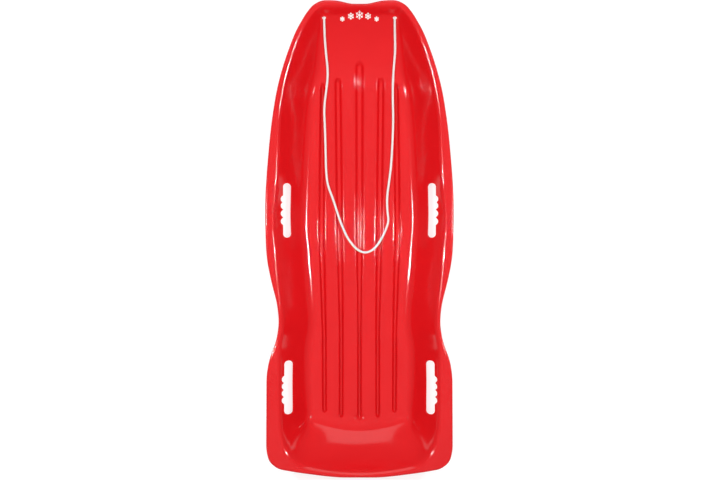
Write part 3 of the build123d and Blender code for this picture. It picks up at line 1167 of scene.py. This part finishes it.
@dataclass
class TowRope:
    """One plaited cord, knotted under the nose at both ends, that lies in the tub as a loop."""

    surface: Surface
    material: bpy.types.Material
    diameter: float = 6.0
    gap: float = 0.3
    knot_depth: float = 14.04  # the knot's middle below the rope's pivot, square to the sheet
    knot_spread: float = 1.55  # size of the knot's crossing loops
    knot_height: float = 2.4
    knot_start: float = 0.08  # share of the closed figure where the cord comes into it
    knot_turn: float = 0.84
    knot_steps: int = 40
    knot_tail: float = 5.0
    tail_drop: float = 4.0
    path_step: float = 6.0
    braid: Braid = field(default_factory=Braid)
    hinge_y: float = 460.0
    hinge_reach: float = 22.0
    left_lead: tuple[Point, ...] = ((-90.6, 567), (-90.3, 531), (-87.5, 488))
    loop: tuple[Point, ...] = (
        (-81.5, 432), (-85.5, 392), (-92.4, 345), (-90.0, 290), (-88.2, 230), (-86.9, 172),
        (-82.5, 139), (-68.5, 104), (-57.5, 68), (-45.5, 35), (-33.0, 6), (-17.5, -15.5),
        (-4.0, -29.0), (14.5, -36.5), (36.0, -28.5), (55.5, -3.5), (67.5, 22), (76.5, 47),
        (72.5, 72), (71.5, 110), (77.0, 148), (82.5, 192), (86.0, 250), (88.3, 313),
        (86.2, 375), (87.8, 432),
    )
    right_lead: tuple[Point, ...] = ((93.0, 488), (91.0, 531), (90.6, 567))

    @property
    def radius(self) -> float:
        """The cord's radius."""
        return self.diameter / 2

    def lay(self, route: Sequence[Point]) -> list[Vector]:
        """Lay a route on the sheet.

        Args:
            route: Its points seen from above.

        Returns:
            The points at the height where the rope just clears the sheet.
        """
        lift = self.radius + self.gap
        return [
            Vector((x, y, self.surface.sheet_height(x, y) + lift * self.surface.steepness(x, y)))
            for x, y in route
        ]

    def knot_line(self, pivot: Vector, down: Vector) -> list[Vector]:
        """The path of an overhand knot under the sheet, with the stretch through the hole.

        Args:
            pivot: Where the rope leaves the hole.
            down: The direction into the hole.

        Returns:
            Points from the rope's tail end to the pivot.
        """
        across = Vector((1.0, 0.0, 0.0))
        forward = down.cross(across).normalized()
        centre = pivot + down * self.knot_depth
        loop = []
        for k in range(self.knot_steps + 1):
            t = math.tau * (self.knot_start + self.knot_turn * k / self.knot_steps)
            u = (math.sin(t) + 2 * math.sin(2 * t)) * self.knot_spread
            v = (math.cos(t) - 2 * math.cos(2 * t)) * self.knot_spread
            w = -math.sin(3 * t) * self.knot_height
            loop.append(centre + across * u + forward * v + down * w)
        out = (loop[0] - loop[2]).normalized() * self.knot_tail
        tail = [loop[0] + out + down * self.tail_drop, loop[0]]
        below = self.radius + self.gap + self.surface.shape.wall
        rise = [pivot + down * below, pivot + down * 2.0, pivot]
        return [*tail, *loop[1::4], *rise]

    def knots(self) -> list[bpy.types.Object]:
        """Make both stopper knots, each with the stretch that fills its hole.

        Returns:
            The left knot and the right knot.
        """
        made = []
        for side, route in ((Side.LEFT, self.left_lead), (Side.RIGHT, self.right_lead[::-1])):
            pivot = self.lay(route[:1])[0]
            angle = self.surface.ramp_angle(route[0][1])
            down = Vector((0.0, math.sin(angle), -math.cos(angle)))
            line = smooth_route(self.knot_line(pivot, down))
            name = f"stopper_knot_{side.name.lower()}"
            obj = braided_tube(name, line, self.radius - 0.15, self.braid, self.material)
            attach(obj, "hull")
            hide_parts(f"rope_knot_{side.name.lower()}")
            made.append(obj)
        return made

    def build(self) -> list[bpy.types.Object]:
        """Returns:
            The rope and both knots.
        """
        knots = self.knots()
        points = self.lay([*self.left_lead, *self.loop, *self.right_lead])
        line = smooth_route(points)
        rope = braided_tube("tow_rope", line, self.radius, self.braid, self.material)
        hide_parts("rope_lead_left", "rope_lead_right", "rope_loop")
        hinge = self.lay([(0.0, self.hinge_y)])[0].z
        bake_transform(rope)
        [tuple(point * MM) for point in even_points(line, self.path_step)]
        return [rope, *knots]


# ---- the print ---------------------------------------------------------------------------------
@dataclass
class NosePrint:
    """A row of plain snow crystals printed on the nose."""

    surface: Surface
    material: bpy.types.Material
    sizes: tuple[float, ...] = (6.0, 8.0, 10.0, 8.0, 6.0)
    spacing: float = 22.0
    place: float = 574.0
    sag: float = 9.0
    film: float = 0.25
    layer_step: float = 0.01  # crossing bars differ this much in height
    arm_half_width: float = 0.95
    barb_half_width: float = 0.75
    barb_place: float = 0.55  # share of the arm where its barbs branch off
    barb_length: float = 0.36  # as a share of the arm
    barb_lean: float = 55.0
    cuts: int = 4

    def crystal(self, x: float, y: float, size: float) -> list[list[Vector]]:
        """Draw one crystal: six arms, each with two barbs.

        Args:
            x: Its middle across the hull.
            y: Its middle along the hull.
            size: The length of an arm.

        Returns:
            Four corners for each bar.
        """
        root = Vector((size * self.barb_place, 0.0))
        bars = [(Vector((0.0, 0.0)), Vector((size, 0.0)), self.arm_half_width)]
        for lean in (-self.barb_lean, self.barb_lean):
            tip = Vector((math.cos(math.radians(lean)), math.sin(math.radians(lean))))
            bars.append((root, root + tip * size * self.barb_length, self.barb_half_width))
        outlines = []
        for k in range(6):
            turn = Matrix.Rotation(math.radians(60 * k + 30), 2)
            for start, end, half in bars:
                side = Vector((start.y - end.y, end.x - start.x)).normalized() * half
                corners = (start - side, end - side, end + side, start + side)
                outlines.append([turn @ corner + Vector((x, y)) for corner in corners])
        return outlines

    def build(self) -> bpy.types.Object:
        """Make the ink film, which follows the sheet.

        Returns:
            The printed row.
        """
        vertices: list[Vector] = []
        faces: list[list[int]] = []
        middle = (len(self.sizes) - 1) / 2
        for number, size in enumerate(self.sizes):
            offset = number - middle
            x, y = offset * self.spacing, self.place - self.sag * (offset / middle) ** 2
            for layer, outline in enumerate(self.crystal(x, y, size)):
                base = len(vertices)
                lift = self.film + self.layer_step * layer
                for k in range(self.cuts + 1):
                    for a, b in ((outline[0], outline[1]), (outline[3], outline[2])):
                        spot = a.lerp(b, k / self.cuts)
                        height = self.surface.top(spot.x, spot.y)
                        vertices.append(Vector((spot.x, spot.y, height + lift)))
                for k in range(self.cuts):
                    first = base + 2 * k
                    faces.append([first, first + 2, first + 3, first + 1])
        obj = object_from("nose_print", vertices, faces)
        with editing(obj) as mesh:
            for face in mesh.faces:
                if face.normal.z < 0:
                    face.normal_flip()
        apply_modifier(obj, "SOLIDIFY", thickness=self.film * 0.8 * MM, offset=-1.0)
        obj.data.materials.append(self.material)
        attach(obj, "hull")
        return obj


# ---- the studio --------------------------------------------------------------------------------
@dataclass(frozen=True)
class SoftLight:
    """One soft rectangular light, aimed at a point of the hull."""

    name: str
    place: tuple[float, float, float]
    aim: tuple[float, float, float]
    size: tuple[float, float]
    power: float
    soft_only: bool = False  # a scrim lights the object but isn't mirrored in it

    def build(self) -> None:
        """Add the light."""
        data = bpy.data.lights.new(self.name, "AREA")
        data.shape = "RECTANGLE"
        data.size, data.size_y = self.size
        data.energy = self.power
        light = bpy.data.objects.new(self.name, data)
        light.location = self.place
        light.visible_glossy = not self.soft_only
        direction = Vector(self.aim) - Vector(self.place)
        light.rotation_euler = direction.to_track_quat("-Z", "Y").to_euler()
        bpy.context.scene.collection.objects.link(light)


@dataclass
class Studio:
    """A white floor, soft lights and a camera that looks straight down. Sizes are in metres."""

    camera: tuple[float, float, float] = (0.0014, -0.0023, 5.0)
    frame_width: float = 1.8425
    rim_height: float = 0.1
    floor_size: float = 200.0
    floor_level: float = -0.0005
    paper: str = "AAAAAA"
    paper_glow: float = 0.7  # lit from below, so that it stays even and white
    # Brightness of the dome over the table: (upward part of the direction, strength).
    dome: tuple[Point, ...] = ((0.0, 0.15), (0.6, 0.3), (0.9, 0.4), (1.0, 0.36))
    side_lights: tuple[SoftLight, ...] = (
        SoftLight("box", (0.95, 0.05, 1.25), (0.0, 0.02, 0.05), (0.17, 0.13), 1.7),
        SoftLight("lamp", (0.95, 0.02, 1.25), (0.0, 0.02, 0.05), (0.09, 0.05), 5.0),
    )
    middle_lights: tuple[SoftLight, ...] = (
        SoftLight("front_box", (0.0, 1.0, 0.98), (0.0, -0.5, 0.05), (0.7, 0.75), 1.9),
        SoftLight("scrim", (0.0, 0.0, 4.6), (0.0, 0.0, 0.0), (3.0, 3.0), 116.0, soft_only=True),
    )

    def lights(self) -> list[SoftLight]:
        """List every light, with the side ones on both sides.

        Returns:
            The lights, in the order in which they are added.
        """
        made = []
        for light in self.side_lights:
            x, y, z = light.place
            for side in Side:
                name = f"{side.name.lower()}_{light.name}"
                made.append(replace(light, name=name, place=(x * side.value, y, z)))
        return [*made, *self.middle_lights]

    def build(self) -> None:
        """Make the floor, the lights, the surroundings and the camera."""
        bpy.ops.object.select_all(action="DESELECT")
        bpy.ops.mesh.primitive_plane_add(size=self.floor_size, location=(0, 0, self.floor_level))
        floor = bpy.context.object
        floor.name = "studio_floor"
        material, _, shader = new_material("white_seamless_paper")
        shader.inputs["Base Color"].default_value = hex_colour(self.paper)
        shader.inputs["Roughness"].default_value = 0.9
        shader.inputs["Specular IOR Level"].default_value = 0.1
        shader.inputs["Emission Color"].default_value = (1.0, 1.0, 1.0, 1.0)
        shader.inputs["Emission Strength"].default_value = self.paper_glow
        floor.data.materials.append(material)
        for light in self.lights():
            light.build()
        world = bpy.data.worlds.new("studio_room")
        world.use_nodes = True
        tree = world.node_tree
        backdrop = tree.nodes["Background"]
        backdrop.inputs["Color"].default_value = (1.0, 1.0, 1.0, 1.0)
        direction = add_node(tree, "ShaderNodeTexCoord").outputs["Generated"]
        height = add_node(tree, "ShaderNodeSeparateXYZ", {0: direction}).outputs[2]
        glow = add_node(tree, "ShaderNodeValToRGB", {0: height})
        while len(glow.color_ramp.elements) < len(self.dome):
            glow.color_ramp.elements.new(0.5)
        for stop, (place, value) in zip(glow.color_ramp.elements, self.dome):
            stop.position = place
            stop.color = (value, value, value, 1.0)
        tree.links.new(glow.outputs[0], backdrop.inputs["Strength"])
        bpy.context.scene.world = world
        bpy.context.scene.view_settings.view_transform = "Standard"
        camera = bpy.data.cameras.new("camera")
        distance = self.camera[2] - self.rim_height
        camera.lens = camera.sensor_width * distance / self.frame_width
        holder = bpy.data.objects.new("camera", camera)
        holder.location = self.camera
        bpy.context.scene.collection.objects.link(holder)
        bpy.context.scene.camera = holder


def main() -> None:
    """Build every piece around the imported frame."""
    logging.basicConfig(level=logging.INFO, format="%(name)s: %(message)s")
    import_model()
    surface = Surface(HullShape())
    hull = Hull(surface, MouldedPolyethylene().build()).build()
    LOG.info("%s: %d faces", hull.name, len(hull.data.polygons))
    for piece in TowRope(surface, BraidedPolypropylene().build()).build():
        LOG.info("%s: %d faces", piece.name, len(piece.data.polygons))
    mark = NosePrint(surface, PadPrintInk().build()).build()
    LOG.info("%s: %d faces", mark.name, len(mark.data.polygons))
    Studio().build()
    bpy.context.view_layer.update()


if __name__ == "__main__":
    main()
